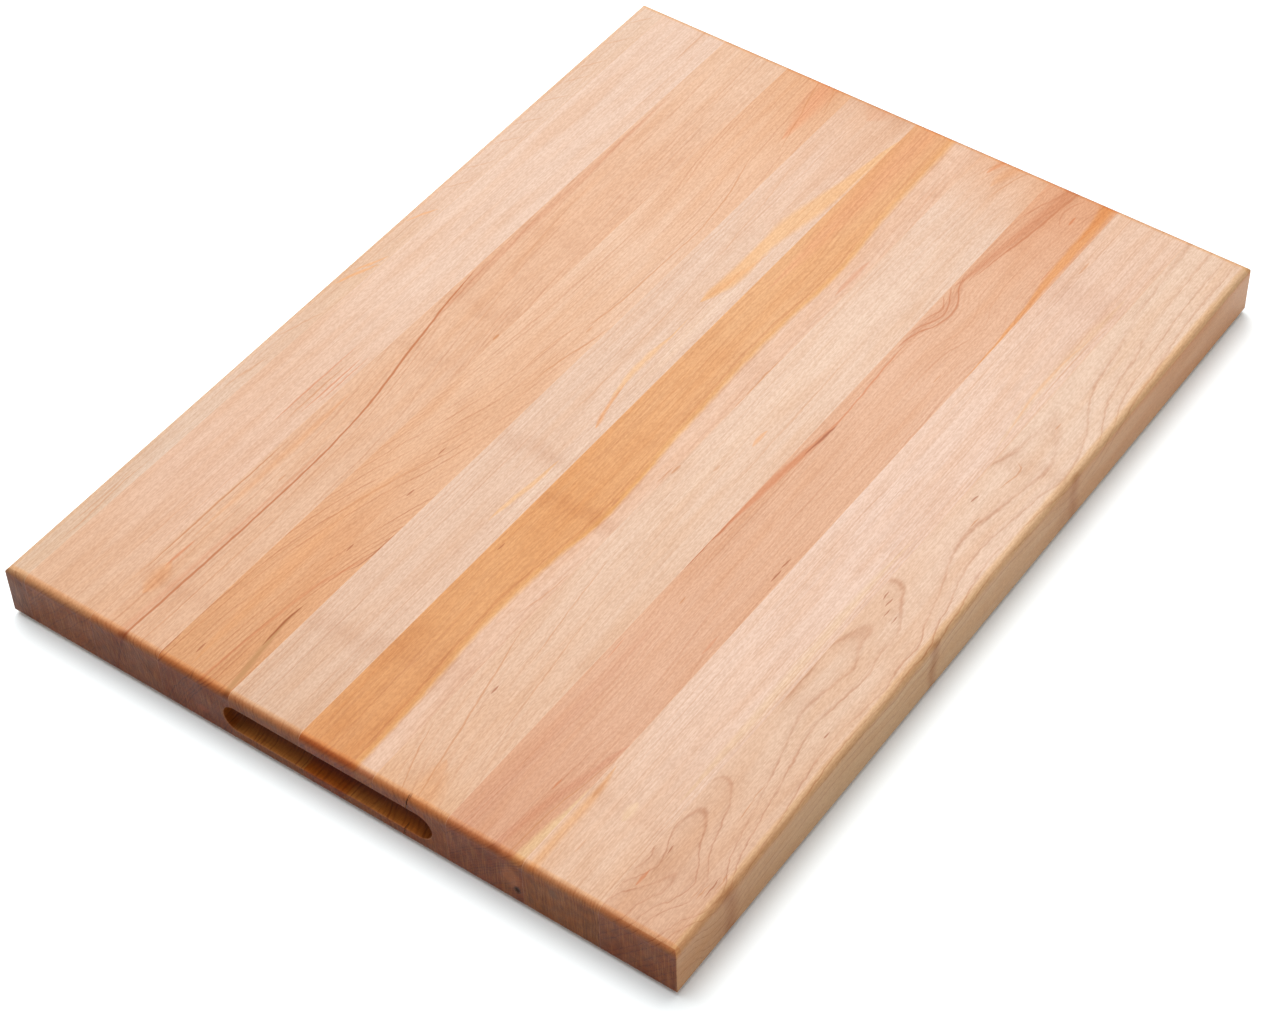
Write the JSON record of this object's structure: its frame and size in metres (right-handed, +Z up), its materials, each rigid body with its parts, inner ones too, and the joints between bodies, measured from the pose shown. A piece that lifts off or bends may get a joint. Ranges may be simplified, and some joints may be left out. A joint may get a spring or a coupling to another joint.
{
  "type": "edge-grain cutting board with finger grips",
  "caption": "Rectangular glued-up maple cutting board with rounded edges and a routed finger grip in each end.",
  "frame": {"origin": "middle of the underside, on the surface that the board rests on", "axes": "+X along the staves towards one end, +Y across the staves towards the narrow outer stave, +Z up"},
  "size_m": [0.6096, 0.4572, 0.0381],
  "materials": {
    "pale_maple": "sanded and oiled sapwood maple, satin",
    "figured_maple": "sanded and oiled flat-sawn maple with contour figure, satin",
    "peach_maple": "sanded and oiled warm maple, satin",
    "honey_maple": "sanded and oiled honey-coloured maple, satin",
    "rose_maple": "sanded and oiled heartwood maple, satin",
    "cured_glue": "cured wood glue sanded flush"
  },
  "bodies": {
    "root": {"stave_01": "figured_maple", "stave_02": "pale_maple", "stave_03": "rose_maple", "stave_04": "pale_maple", "stave_05": "honey_maple", "stave_06": "pale_maple", "stave_07": "peach_maple", "stave_08": "peach_maple", "stave_09": "pale_maple", "stave_10": "figured_maple", "glue_line_01": "cured_glue", "glue_line_02": "cured_glue", "glue_line_03": "cured_glue", "glue_line_04": "cured_glue", "glue_line_05": "cured_glue", "glue_line_06": "cured_glue", "glue_line_07": "cured_glue", "glue_line_08": "cured_glue", "glue_line_09": "cured_glue"}
  },
  "joints": []
}
